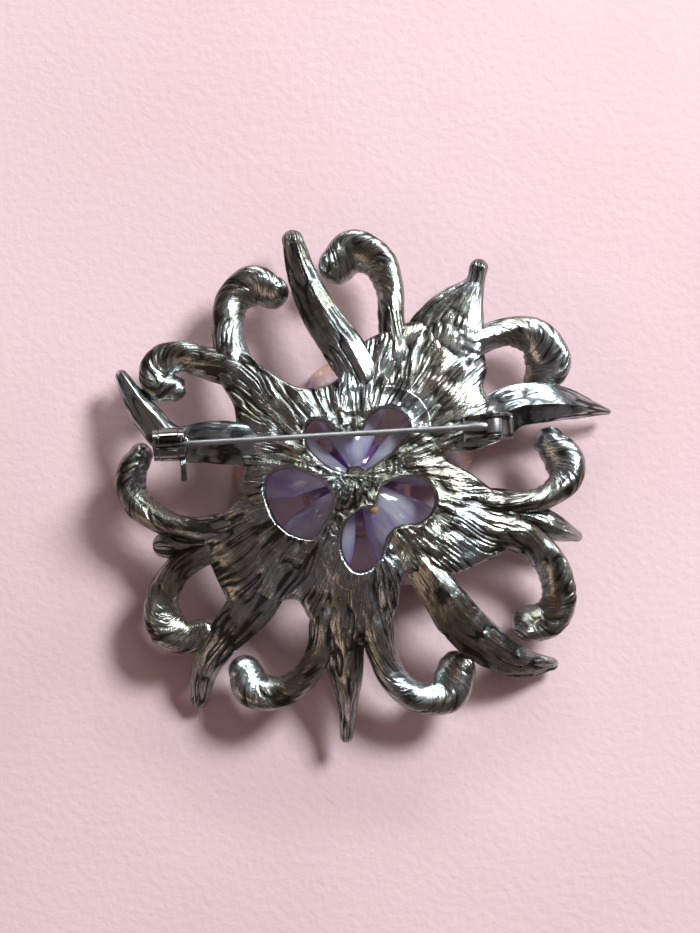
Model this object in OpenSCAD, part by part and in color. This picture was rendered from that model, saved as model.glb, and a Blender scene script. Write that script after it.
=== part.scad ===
// Openwork flower brooch, lying face down on its petals. Millimetres, +Z out of the brooch's back.
// +X runs along the pin, from the catch to the hinge. The origin is on the resting surface,
// below the middle of the whole outline.

/* [Frame casting] */
// Height of the middle of the back above the resting surface
hub_top = 13; // [12:0.5:14]
// Radius of the shallow dome that the back follows
dome_r = 90; // [80:5:110]
// Thickness of the hub web
web_t = 1.8; // [1.4:0.1:2.2]
// Depth of a scroll hook, back to front
scroll_t = 3.2; // [2.6:0.1:3.6]
// Depth of a leaf, back to front
leaf_t = 2.4; // [1.8:0.1:3]
// How far a scroll's inner edge leans down, per millimetre of width
scroll_lean = 0.28; // [0:0.02:0.4]

/* [Flower] */
// Reach of the outer petals from the flower's axis
outer_reach = 17.5; // [15:0.5:18.5]
// Widest part of an outer petal
outer_w = 14.6; // [11:0.2:15]
// Reach of the inner petals from the flower's axis
inner_reach = 8; // [7:0.5:10]
// Widest part of an inner petal
inner_w = 6.6; // [5.4:0.2:7.4]
// Thickness of a petal
petal_t = 1.1; // [0.8:0.1:1.4]

/* [Stones] */
// Radius of a small stone on a scroll
stone_r = 0.85; // [0.6:0.05:1]
// Stones along each scroll
stones = 5; // [3:1:6]

/* [Pin and hinge] */
// Height of the pin's axis above the resting surface
pin_z = 15; // [14.6:0.1:15.4]
// Radius of the needle
needle_r = 0.4; // [0.35:0.05:0.45]
// From the rivet to the needle's tip
needle_len = 44.5; // [44:0.5:45]
// Radius of the rivet
rivet_r = 0.45; // [0.35:0.05:0.5]
// Outer radius of the eye at the needle's end
eye_r = 1.15; // [1:0.05:1.3]
// Gap between the bracket's ears
ear_gap = 2.5; // [2.4:0.1:2.8]

/* [Catch] */
// Outer radius of the catch barrel
barrel_r = 2.3; // [2.1:0.1:2.5]
// Outer radius of the roller inside the barrel
roller_r = 1.75; // [1.6:0.05:1.8]
// Radius of the roller's bore, which the needle lies in
roller_bore = 0.95; // [0.85:0.05:1.05]
// Width of the slot that the needle leaves through
slot_w = 1.3; // [1.1:0.1:1.5]
// Reach of the thumb tab from the roller's axis
tab_reach = 5.2; // [4.4:0.1:5.6]

/* [Hidden] */
$fn = 48;
// Middle of the whole outline in the layout below, where the origin goes
middle = [0.5, 0];
// Centre of the hub and of the flower
hub = [-1, 0.5];
// The pin's line, its rivet, and the middle of the catch
pin_y = 6;
rivet_x = 18.3;
catch_x = -26.3;
// Running clearance of a turning fit
play = 0.05;
// Depth by which a set piece sits in its seat
seat = 0.3;

// Petals in each ring of the flower
petals = 5;
SCROLLS = 10;
LEAVES = 9;
function two(i) = str(i < 10 ? "0" : "", i);

// Centre-lines of the scroll hooks, root first: [x, y, width, rise above the dome]
scroll_lines = [
    [[5.5, 17.5, 4.5, 0], [5.2, 22, 3.8, 0.2], [5.3, 27, 4, 0.6], [3.8, 31, 5, 1],
     [0.5, 32.8, 6, 0.8], [-2, 30.8, 5.2, 0]],
    [[15.5, 18, 4.5, 0], [18.5, 19.2, 4, 0.2], [22, 20, 4.2, 0.6], [25.5, 18.8, 5.5, 1],
     [27, 15.5, 6.4, 0.6], [26, 12.8, 5, -0.3]],
    [[18, -4, 4, 0], [21.5, -4.2, 3.2, 0.2], [25, -3.8, 3.4, 0.6], [28, -1.8, 4.5, 1],
     [28.3, 1.2, 5.6, 0.7], [26.5, 4, 4.4, 0]],
    [[20.5, -8.5, 5, 0], [23.5, -10.5, 4.5, 0.2], [25.8, -13.5, 4.5, 0.6], [26.5, -17.5, 4.8, 1],
     [25, -20.5, 5.4, 0.8], [22.3, -21.2, 5.2, 0]],
    [[0.5, -20, 5, 0], [1.2, -24, 4.2, 0.2], [2.8, -28, 4, 0.6], [6, -30.6, 4.2, 1],
     [10, -30.2, 5.6, 0.8], [11.5, -27, 5.4, 0]],
    [[-6.5, -19.5, 4.5, 0], [-7.5, -23.5, 3.8, 0.2], [-10, -27, 3.8, 0.6], [-13.5, -28.8, 4.6, 1],
     [-17, -28, 5.4, 0.8], [-18, -25.5, 4.6, 0]],
    [[-24.5, -9.5, 4, 0], [-27.2, -11.5, 4, 0.3], [-29.2, -15, 4.8, 0.8], [-28.6, -18.8, 5.6, 1],
     [-25.8, -20.3, 4.8, 0.6], [-23.4, -19.6, 3.6, 0]],
    [[-21, -5.5, 4, 0], [-25, -5.2, 3.4, 0.2], [-29, -3.6, 3.8, 0.6], [-32.2, -0.5, 4.2, 1],
     [-32.4, 3.2, 4.2, 0.7], [-31, 5.6, 3.4, 0]],
    [[-17.5, 16.5, 5, 0], [-21.3, 18, 4.6, 0.2], [-24.8, 19.2, 4.4, 0.6], [-27.8, 18, 5, 1],
     [-28, 15.3, 4.8, 0.6], [-25.8, 14.6, 3.8, 0]],
    [[-17.3, 18.5, 5, 0], [-17.8, 22.5, 4.6, 0.2], [-17, 26.5, 4.8, 0.7], [-14, 28.6, 5.6, 1],
     [-11.2, 27.4, 4.6, 0.3]],
];

// Centre-lines of the leaves, root first: [x, y, width, rise above the dome]
leaf_lines = [
    [[-1.8, 7, 5, 0.6], [-0.8, 12, 6, 0.7], [-2.5, 19, 6, 0.9], [-4.8, 24, 5.2, 1], [-7, 29, 4.4, 1.2],
     [-8, 34.8, 3, 2]],
    [[12.4, 18.6, 11.4, 0.1], [13.8, 21.5, 9.8, 0.5], [15.3, 24, 7.2, 0.9], [17.3, 27, 3, 1.6], [18, 29.2, 2.6, 2.6]],
    [[15.6, 6, 5.6, 0.2], [18.5, 7.4, 6.4, 0.5], [22, 9.2, 6, 0.6], [28, 9.4, 5.2, 0.8], [35.2, 8.2, 1, -0.5]],
    [[23.5, -6.5, 4, -1.2], [26.5, -8, 3.8, -1], [29.6, -9.3, 1.6, -1.2]],
    [[6.5, -11.5, 5, 0], [9.5, -16, 5.6, 0.5], [12.5, -20.5, 6.4, 0.9], [17, -24.7, 5.6, 0.8],
     [21, -26.6, 4.4, 0.2], [25, -27, 2, -0.6]],
    [[-4, -20, 6.4, 0], [-4, -23.5, 5.6, 0.3], [-4, -27, 4.8, 0.2], [-4, -31.5, 2.8, 0], [-4.4, -35.4, 1.8, 0.4]],
    [[-15.8, -15.8, 6.6, 0.2], [-18.4, -18.5, 6, 0.6], [-21, -21.2, 5, 0.8], [-23.6, -24.8, 4, 0.4], [-24.8, -29, 2.6, -0.8]],
    [[-21, -7.6, 4, -0.6], [-25, -7.7, 3, -0.8], [-29.6, -7.2, 2.2, -0.6]],
    [[-15.5, 5.8, 6, 0.2], [-20.5, 6.4, 6, 1], [-26, 6.8, 4.8, 1.8], [-29.5, 10.5, 4.2, 1.6],
     [-32, 14.6, 3, 1.2], [-33.2, 17, 1.8, 1.2]],
];

// Outline of the hub web
web_edge = [
    [-4, 13.5], [-8.5, 13.5], [-13.5, 17], [-16, 19.5], [-19.3, 18.8], [-19.3, 15.3], [-17.5, 11.5], [-17.2, 8],
    [-17.2, 4.5], [-15.5, 1.5], [-16.5, -1], [-19.5, -3.5], [-22, -5], [-22.6, -8], [-21.5, -11.5],
    [-20.3, -14.5], [-19, -17], [-15.5, -17], [-10.5, -16], [-8.7, -18.6], [-7, -21.6], [-2.5, -23],
    [1.2, -21.6], [3.6, -18], [5, -13.6], [9.5, -13.8], [13.5, -13.4], [19, -11], [21.6, -8.5], [21, -5],
    [18.6, -3], [15, 0], [11.8, 2.4], [14, 4.6], [17.5, 6.4], [18.4, 9.5], [17.5, 12], [18.2, 15],
    [17, 19], [13, 21.5], [8, 21.8], [4, 20.6], [0.8, 19], [-1.6, 15.6],
];
// Windows in the hub: above the struts, left of them and right of them
windows = [
    [[-7.6, 6.8], [-6.6, 8.4], [-5, 8.2], [-3.2, 6.4], [-1.4, 5.8], [0.2, 6.4], [1.4, 8.6], [3.8, 9.6], [6, 8.6],
     [6.6, 6.8], [5.6, 5], [3, 2.8], [0.2, 1.2], [-1.8, 0.8], [-4.6, 2], [-7, 4.4]],
    [[-13.5, -1.4], [-12.8, 1.2], [-10.4, 2], [-7.8, 1.2], [-5.6, -0.2], [-4.4, -2.6], [-5.4, -5.2], [-7.2, -7.6],
     [-9.4, -7.4], [-12, -5.4]],
    [[2.4, -1.4], [4.6, -0.3], [7.4, -0.3], [9.3, -1.8], [9.4, -4.4], [7.6, -6.3], [4.6, -6.6], [2.8, -8],
     [2, -10.4], [0.2, -12.3], [-2, -12.3], [-3.4, -9.8], [-2.9, -6.4], [-0.8, -4.4], [1.6, -3.9]],
];

// Smooth curve through control points (Catmull-Rom), n steps to each gap; extra values ride along
function before(p, i, closed) = closed ? p[(i + len(p) - 1) % len(p)] : i > 0 ? p[i - 1] : 2 * p[0] - p[1];
function after(p, i, closed) =
    closed ? p[i % len(p)] : i < len(p) ? p[i] : 2 * p[len(p) - 1] - p[len(p) - 2];
function blend4(a, b, c, d, t) =
    0.5 * (2 * b + (c - a) * t + (2 * a - 5 * b + 4 * c - d) * t * t + (3 * b - a - 3 * c + d) * t * t * t);
function curve(p, n, closed = false) = concat(
    [for (i = [0 : len(p) - (closed ? 1 : 2)]) for (k = [0 : n - 1])
        blend4(before(p, i, closed), p[i], after(p, i + 1, closed), after(p, i + 2, closed), k / n)],
    closed ? [] : [p[len(p) - 1]]);

// Height of the dome's top surface over a point
function dome(p) = hub_top - dome_r + sqrt(pow(dome_r, 2) - pow(norm([p.x - hub.x, p.y - hub.y]), 2));
function unit2(v) = [v.x, v.y] / norm([v.x, v.y]);
function heading(c, i) = unit2(c[min(i + 1, len(c) - 1)] - c[max(i - 1, 0)]);
// +1 where a line curls to its left, -1 to its right
function turn_of(p) = sign(cross(unit2(p[1] - p[0]), [p[len(p) - 1].x - p[0].x, p[len(p) - 1].y - p[0].y]));

// One cross-section: an oval of the given width and depth, higher above its middle than below it
function ring(c, h, top, w, t, lean, sides) = [
    for (j = [0 : sides - 1])
        let (a = 360 * j / sides, s = w / 2 * cos(a), up = sin(a))
            [c.x - h.y * s, c.y + h.x * s, top - 0.6 * t + (up > 0 ? 0.6 : 0.4) * t * up - lean * s]
];

// A tapering cast strand along control points, with a rounded nose at its end
module strand(line, steps, depth, lean, sides) {
    c = curve(line, steps);
    n = len(c);
    tip = c[n - 1];
    dir = heading(c, n - 1);
    slope = lean * turn_of(line);
    body = [for (i = [0 : n - 1])
        ring(c[i], heading(c, i), dome(c[i]) + c[i][3], c[i][2], depth, slope * i / (n - 1), sides)];
    nose = [for (a = [30, 60, 82])
        ring(tip + concat(dir * tip[2] / 2 * sin(a), [0, 0]), dir, dome(tip) + tip[3] - 0.6 * depth * (1 - cos(a)),
             tip[2] * cos(a), depth * cos(a), slope, sides)];
    rings = concat(body, nose);
    loft(rings);
}

// Closed skin over a list of rings that all have the same number of points
module loft(rings) {
    m = len(rings[0]);
    last = len(rings) - 1;
    sides = [for (i = [0 : last - 1]) for (j = [0 : m - 1])
        let (k = (j + 1) % m, a = i * m, b = a + m)
            each [[a + j, b + j, b + k], [a + j, b + k, a + k]]];
    ends = [[for (j = [0 : m - 1]) j], [for (j = [m - 1 : -1 : 0]) last * m + j]];
    polyhedron(points = [for (r = rings) each r], faces = concat(sides, ends), convexity = 6);
}

module made_of(shade) {
    color(shade) translate([-middle.x, -middle.y, 0]) children();
}

module metal() {
    made_of([0.27, 0.26, 0.24]) children();
}

// ---- the casting ----
module dome_shell() {
    translate([hub.x, hub.y, hub_top - dome_r]) difference() {
        sphere(dome_r);
        sphere(dome_r - web_t);
    }
}

module hub_web() {
    metal() difference() {
        intersection() {
            dome_shell();
            linear_extrude(2 * hub_top) polygon(curve(web_edge, 3, true));
        }
        for (w = windows) linear_extrude(2 * hub_top) polygon(curve(w, 3, true));
    }
}

module scroll(i) {
    metal() strand(scroll_lines[i], 4, scroll_t, scroll_lean, 14);
}

module leaf(i) {
    metal() strand(leaf_lines[i], 3, leaf_t, 0, 12);
}

// ---- stones set along the front of a scroll ----
module stone() {
    cylinder(h = 0.5, r = stone_r);
    translate([0, 0, -0.5]) cylinder(h = 0.5, r1 = 0.5 * stone_r, r2 = stone_r);
}

module stone_row(i) {
    c = curve(scroll_lines[i], 12);
    n = len(c) - 1;
    made_of([0.95, 0.72, 0.6]) for (k = [0 : stones - 1]) {
        p = c[round(n * (0.3 + 0.68 * k / (stones - 1)))];
        translate([p.x, p.y, dome(p) + p[3] - scroll_t - 0.5 + seat]) stone();
    }
}

// ---- the flower ----
post_r = 0.9;
seat_z = 9.4;
seat_h = 0.8;
cup_z = 1.9;
// Turn of the flower, so that its first petal points right of the hub
flower_turn = 20;

module flower_post() {
    metal() translate([hub.x, hub.y, cup_z + 1.4]) cylinder(h = hub_top - web_t - cup_z - 1.4 + seat, r = post_r);
}

module flower_seat() {
    metal() translate([hub.x, hub.y, seat_z]) difference() {
        cylinder(h = seat_h, r = 1.4);
        translate([0, 0, -1]) cylinder(h = seat_h + 2, r = post_r);
    }
}

// Half width of a petal at the share u of its reach: a wedge near the axis, round at the tip
function petal_half(u, reach, w) =
    min(0.46 * (1.5 + u * (reach - 1.5)) + 0.2, w / 2 * sqrt(1 - pow(max(0, u - 0.6) / 0.41, 2)));
// Mid surface of a petal: cupped forward along its length and across it
function petal_point(u, v, reach, w, z_in, z_out) =
    let (half = petal_half(u, reach, w), x = 1.5 + u * (reach - 1.5) - 0.05 * half * v * v)
        [x, half * v, z_in + (z_out - z_in) * pow(u, 1.7) - 0.09 * half * v * v * (1 - u)];

module petal(reach, w, z_in, z_out) {
    nu = 8;
    nv = 6;
    us = [for (i = [0 : nu]) i / nu];
    rings = [for (u = us) concat(
        [for (j = [0 : nv]) petal_point(u, 1 - 2 * j / nv, reach, w, z_in, z_out)],
        [for (j = [nv : -1 : 0]) petal_point(u, 1 - 2 * j / nv, reach, w, z_in, z_out) - [0, 0, petal_t]])];
    loft(rings);
}

module outer_petal(i) {
    made_of([0.7, 0.6, 0.92]) translate([hub.x, hub.y, 0]) rotate([0, 0, 360 / petals * i + flower_turn])
        petal(outer_reach, outer_w, seat_z - 0.02, petal_t);
}

module inner_petal(i) {
    made_of([0.62, 0.5, 0.9]) translate([hub.x, hub.y, 0]) rotate([0, 0, 360 / petals * (i + 0.5) + flower_turn])
        petal(inner_reach, inner_w, seat_z - petal_t - 0.04, 3);
}

module centre_cup() {
    metal() translate([hub.x, hub.y, 0]) rotate_extrude()
        polygon([[0, cup_z + 1.7], [1.6, cup_z + 1.7], [2.7, cup_z + 0.2], [2.7, cup_z - 0.9], [2.4, cup_z - 0.9],
                 [2.4, cup_z], [1.5, cup_z + 1.2], [0, cup_z + 1.2]]);
}

module centre_stone() {
    made_of([0.9, 0.85, 0.95]) translate([hub.x, hub.y, 0]) rotate_extrude()
        polygon([[0, cup_z + 1.1], [1.3, cup_z + 1.1], [2.3, cup_z], [2.3, cup_z - 0.6], [1.2, cup_z - 1.4],
                 [0, cup_z - 1.4]]);
}

// Adhesive squeezed up between two petals, seen through the window right of the struts
module glue_bead() {
    made_of([0.75, 0.5, 0.25]) translate([1.2, -4.1, 8.5]) sphere(0.8);
}

// ---- hinge and pin ----
bracket_x0 = 14.4;
bracket_x1 = 20.9;
bracket_z = 11.2;
ear_t = 0.5;
ear_top = 1.2;

module along_y(r, len, x, z) {
    translate([x, pin_y + len / 2, z]) rotate([90, 0, 0]) cylinder(h = len, r = r);
}

module hinge_bracket() {
    w = ear_gap + 2 * ear_t;
    metal() difference() {
        union() {
            translate([bracket_x0, pin_y - w / 2, bracket_z]) cube([bracket_x1 - bracket_x0, w, pin_z - bracket_z]);
            along_y(ear_top, w, rivet_x, pin_z);
        }
        translate([bracket_x0 - 1, pin_y - ear_gap / 2, bracket_z + 0.6])
            cube([bracket_x1 - bracket_x0 + 1 - ear_t, ear_gap, 9]);
        translate([bracket_x0 - 1, pin_y - w, pin_z - 1.2]) cube([1.9, 2 * w, 3]);
        along_y(rivet_r, w + 1, rivet_x, pin_z);
    }
}

module hinge_rivet() {
    w = ear_gap + 2 * ear_t;
    metal() {
        along_y(rivet_r, w + 0.2, rivet_x, pin_z);
        for (s = [-1, 1]) translate([0, s * (w / 2 + 0.17), 0]) along_y(0.8, 0.3, rivet_x, pin_z);
    }
}

module pin_stem() {
    sharp = 3;
    metal() {
        difference() {
            union() {
                along_y(eye_r, ear_gap - 0.4, rivet_x, pin_z);
                translate([rivet_x, pin_y, pin_z]) rotate([0, -90, 0]) cylinder(h = needle_len - sharp, r = needle_r);
            }
            along_y(rivet_r + play, ear_gap + 1, rivet_x, pin_z);
        }
        translate([rivet_x - needle_len + sharp, pin_y, pin_z]) rotate([0, -90, 0])
            cylinder(h = sharp, r1 = needle_r, r2 = 0.08);
    }
}

// ---- rollover catch ----
barrel_l = 2.6;
flange_t = 0.8;
catch_foot_z = 11;

module along_x(r, len, x) {
    translate([x - len / 2, pin_y, pin_z]) rotate([0, 90, 0]) cylinder(h = len, r = r);
}

module needle_slot(len) {
    translate([catch_x - len / 2, pin_y - slot_w / 2, pin_z]) cube([len, slot_w, 4]);
}

module catch_housing() {
    metal() difference() {
        union() {
            along_x(barrel_r, barrel_l, catch_x);
            translate([catch_x - barrel_l / 2, pin_y - 1.3, catch_foot_z]) cube([barrel_l, 2.6, 3]);
            translate([catch_x - 2.6, pin_y - 1.9, catch_foot_z]) cube([5.2, 3.8, 0.7]);
        }
        along_x(roller_r + play, barrel_l + 1, catch_x);
        translate([catch_x - 3, pin_y - 1, pin_z]) cube([6, 2, 4]);
    }
}

module catch_roller() {
    x_out = (barrel_l + flange_t) / 2 + play;
    metal() difference() {
        union() {
            along_x(roller_r, barrel_l + 2 * play + 0.4, catch_x);
            for (s = [-1, 1]) along_x(barrel_r - 0.1, flange_t, catch_x + s * x_out);
            translate([catch_x + x_out - flange_t / 2, pin_y - tab_reach, pin_z - 0.9]) cube([flange_t, 4.2, 0.9]);
        }
        along_x(roller_bore, barrel_l + 4, catch_x);
        needle_slot(barrel_l + 4);
    }
}

hub_web();
for (i = [1 : SCROLLS]) {
    scroll(i - 1);
    stone_row(i - 1);
}
for (i = [1 : LEAVES]) {
    leaf(i - 1);
}
for (i = [1 : petals]) {
    outer_petal(i - 1);
    inner_petal(i - 1);
}
flower_post();
flower_seat();
centre_cup();
centre_stone();
glue_bead();
hinge_bracket();
hinge_rivet();
pin_stem();
catch_housing();
catch_roller();
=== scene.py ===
# %% [markdown]
# # An openwork flower brooch, lying on its face
#
# The brooch is a chiselled, black-plated casting with hooks and leaves round a hub. A pin with a
# rollover catch lies across its back, and acrylic petals show through the hub's windows.
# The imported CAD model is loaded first, as the frame. Everything made here sits in that same frame,
# in metres, and takes the place of a CAD piece or is added to one.

# %% Load the frame
import bpy
import numpy as np
from mathutils import Matrix, Vector


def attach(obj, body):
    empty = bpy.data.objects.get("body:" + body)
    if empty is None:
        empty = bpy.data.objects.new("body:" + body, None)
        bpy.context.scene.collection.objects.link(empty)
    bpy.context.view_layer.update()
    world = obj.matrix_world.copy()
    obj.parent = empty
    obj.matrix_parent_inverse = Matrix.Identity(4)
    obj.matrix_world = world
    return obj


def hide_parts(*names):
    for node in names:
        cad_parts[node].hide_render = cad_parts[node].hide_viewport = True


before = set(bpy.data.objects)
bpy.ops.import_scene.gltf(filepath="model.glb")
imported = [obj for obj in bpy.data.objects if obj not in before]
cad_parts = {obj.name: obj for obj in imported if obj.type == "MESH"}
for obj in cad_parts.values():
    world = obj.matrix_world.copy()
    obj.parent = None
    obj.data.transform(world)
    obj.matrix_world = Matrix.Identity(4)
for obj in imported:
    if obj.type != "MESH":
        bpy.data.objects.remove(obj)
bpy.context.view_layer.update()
MM = 0.001

# %% [markdown]
# ## The plan of the brooch
#
# Positions are easiest to think of in millimetres on a plan drawn round the hub. The plan's own
# origin is half a millimetre to the left of the frame's, so `MIDDLE` is taken off at the end.
# The back of the brooch follows a very shallow dome, like a watch glass.

# %% The dome and the plan
MIDDLE = np.array([0.5, 0.0])
HUB = np.array([-1.0, 0.5])
HUB_TOP = 13.0
DOME_R = 90.0


def dome(x, y):
    """Height of the back over a point: the cap of a sphere, top - R + sqrt(R^2 - distance^2)."""
    away = (x - HUB[0]) ** 2 + (y - HUB[1]) ** 2
    return HUB_TOP - DOME_R + np.sqrt(DOME_R ** 2 - away)


print("height at the hub and 30 mm out:", dome(-1.0, 0.5), round(float(dome(29.0, 0.5)), 2))

# %% [markdown]
# ## Noise as arrays
#
# Chisel strokes, lumps in the metal and veins in the petals all come from one kind of noise: random
# numbers on a lattice, blended smoothly between its points. Stretching one direction of the
# lattice turns round lumps into long strokes. The seed is fixed, so each run gives the same brooch.

# %% Value noise and strokes
TABLE = np.random.default_rng(7).random((512, 512))


def noise(x, y, seed=0, around=512):
    """Smooth noise from 0 to 1: lattice numbers blended by 3f^2 - 2f^3 in x and in y.

    `around` is the lattice's length in y."""
    xi, yi = np.floor(x).astype(int), np.floor(y).astype(int)
    fx, fy = x - xi, y - yi
    fx, fy = fx * fx * (3 - 2 * fx), fy * fy * (3 - 2 * fy)

    def at(a, b):
        """The lattice number a steps along x and b steps along y."""
        return TABLE[(xi + a + 37 * seed) % 512, (yi + b) % around]

    low = at(0, 0) * (1 - fx) + at(1, 0) * fx
    high = at(0, 1) * (1 - fx) + at(1, 1) * fx
    return low * (1 - fy) + high * fy


def strokes(along, across, seed=0, around=512, sharp=3.0):
    """Narrow grooves, 1 in a groove and 0 beside it: (1 - |2n - 1|)^sharp of the noise n."""
    return (1 - np.abs(2 * noise(along, across, seed, around) - 1)) ** sharp


def ease(x, low, high):
    """0 below low, 1 above high, and 3t^2 - 2t^3 in between."""
    t = np.clip((x - low) / (high - low), 0, 1)
    return t * t * (3 - 2 * t)


print("noise runs from", round(float(noise(*np.mgrid[0:9:0.1, 0:9:0.1]).min()), 2), "to 1")

# %% [markdown]
# ## From arrays to a mesh
#
# A piece is a grid of points: ring after ring along it, and point after point round each ring.
# `skin` joins them with quads and closes the ends. The sign of the enclosed volume tells whether
# the faces point outwards, and they are turned round if they don't. Two things are kept on the
# points for the materials: how far along and across the piece each point is, and how deep in a
# groove.

# %% Mesh helpers
def solid(name, points, faces, run=None, groove=None, smooth=True):
    """A closed mesh from points in plan millimetres and a list of face arrays, with its faces outwards."""
    place = (np.asarray(points, float) - [MIDDLE[0], MIDDLE[1], 0]) * MM
    tris = np.concatenate([f[:, [0, k, k + 1]] for f in faces for k in range(1, f.shape[1] - 1)])
    a, b, c = place[tris[:, 0]], place[tris[:, 1]], place[tris[:, 2]]
    if np.einsum("ij,ij->i", a, np.cross(b, c)).sum() < 0:
        faces = [f[:, ::-1] for f in faces]
    mesh = bpy.data.meshes.new(name)
    mesh.from_pydata(place.tolist(), [], [face for f in faces for face in f.tolist()])
    mesh.polygons.foreach_set("use_smooth", np.full(len(mesh.polygons), smooth))
    if run is not None:
        layer = mesh.attributes.new("run", "FLOAT_VECTOR", "POINT")
        layer.data.foreach_set("vector", np.asarray(run, np.float32).ravel())
    if groove is not None:
        layer = mesh.attributes.new("groove", "FLOAT", "POINT")
        layer.data.foreach_set("value", np.asarray(groove, np.float32).ravel())
    mesh.update()
    made = bpy.data.objects.new(name, mesh)
    bpy.context.scene.collection.objects.link(made)
    return made


def grid_faces(n, m, closed):
    """Quads of an n by m grid that wraps round in m, and in n too if closed."""
    i, j = np.meshgrid(np.arange(n if closed else n - 1), np.arange(m), indexing="ij")
    i2, j2 = (i + 1) % n, (j + 1) % m
    return np.stack([i * m + j, i2 * m + j, i2 * m + j2, i * m + j2], axis=-1).reshape(-1, 4)


def skin(name, rings, run=None, groove=None, closed=False, smooth=True):
    """A surface through rings[i, j], in millimetres.

    Its ends close on the mean point of the end rings, or, if closed, on each other."""
    n, m = rings.shape[:2]
    points, faces = rings.reshape(-1, 3), [grid_faces(n, m, closed)]
    ends = [0, -1]
    if not closed:
        points = np.concatenate([points, rings[ends].mean(axis=1)])
        j, k = np.arange(m), (np.arange(m) + 1) % m
        faces += [np.stack([k, j, np.full(m, n * m)], 1),
                  np.stack([(n - 1) * m + j, (n - 1) * m + k, np.full(m, n * m + 1)], 1)]
        run = None if run is None else np.concatenate([run.reshape(-1, 3), run[ends].mean(axis=1)])
        groove = None if groove is None else np.concatenate([groove.ravel(), groove[ends].mean(axis=1)])
    return solid(name, points, faces, run, groove, smooth)


def dress(piece, material, body="brooch", stands_for=()):
    """Gives a piece its finish and its body, and puts it in the place of the CAD pieces named."""
    piece.data.materials.append(material)
    if stands_for:
        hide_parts(*stands_for)
    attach(piece, body)
    return piece


print("a 3 by 4 grid closed on itself has", len(grid_faces(3, 4, True)), "faces")

# %% [markdown]
# ## A smooth line through a few points
#
# Each hook or leaf starts as a few listed points: x, y, its width there, and how far it rises
# above the dome.
# It is then sampled again at equal steps of length, so strokes on it keep their size.

# %% Smooth lines
def between(a, b, c, d, f):
    """Catmull-Rom: the point a fraction f of the way from b to c, with a before them and d after."""
    square, cube = 2 * a - 5 * b + 4 * c - d, 3 * b - a - 3 * c + d
    return 0.5 * (2 * b + (c - a) * f + square * f ** 2 + cube * f ** 3)


def smooth_line(points, n):
    """n stations at equal steps along the smooth curve through points, and the distance along to each."""
    p = np.asarray(points, float)
    p = np.concatenate([[2 * p[0] - p[1]], p, [2 * p[-1] - p[-2]]])
    t = np.linspace(0, len(p) - 3.0001, 40 * len(p))
    i = t.astype(int)
    path = between(p[i], p[i + 1], p[i + 2], p[i + 3], (t - i)[:, None])
    step = np.concatenate([[0], np.cumsum(np.linalg.norm(np.diff(path[:, :2], axis=0), axis=1))])
    s = np.linspace(0, step[-1], n)
    return np.stack([np.interp(s, step, column) for column in path.T], axis=1), s


def heading(path):
    """Unit direction along a plan path, and the unit vector to its left."""
    along = np.gradient(path[:, :2], axis=0)
    along /= np.linalg.norm(along, axis=1, keepdims=True)
    return along, np.stack([-along[:, 1], along[:, 0]], axis=1)


line, reach = smooth_line([[0, 0, 1, 0], [5, 2, 1, 0], [9, 0, 1, 0]], 50)
print("a test line of", round(float(reach[-1]), 2), "mm")

# %% [markdown]
# ## Finishes
#
# A finish is a small tree of shader nodes. `Finish` keeps the tree and gives short ways to add a node,
# feed it and read it, so that each material below reads like a recipe. Every pattern is read
# from the piece's own place in the frame or from the two things kept on its points.

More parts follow.
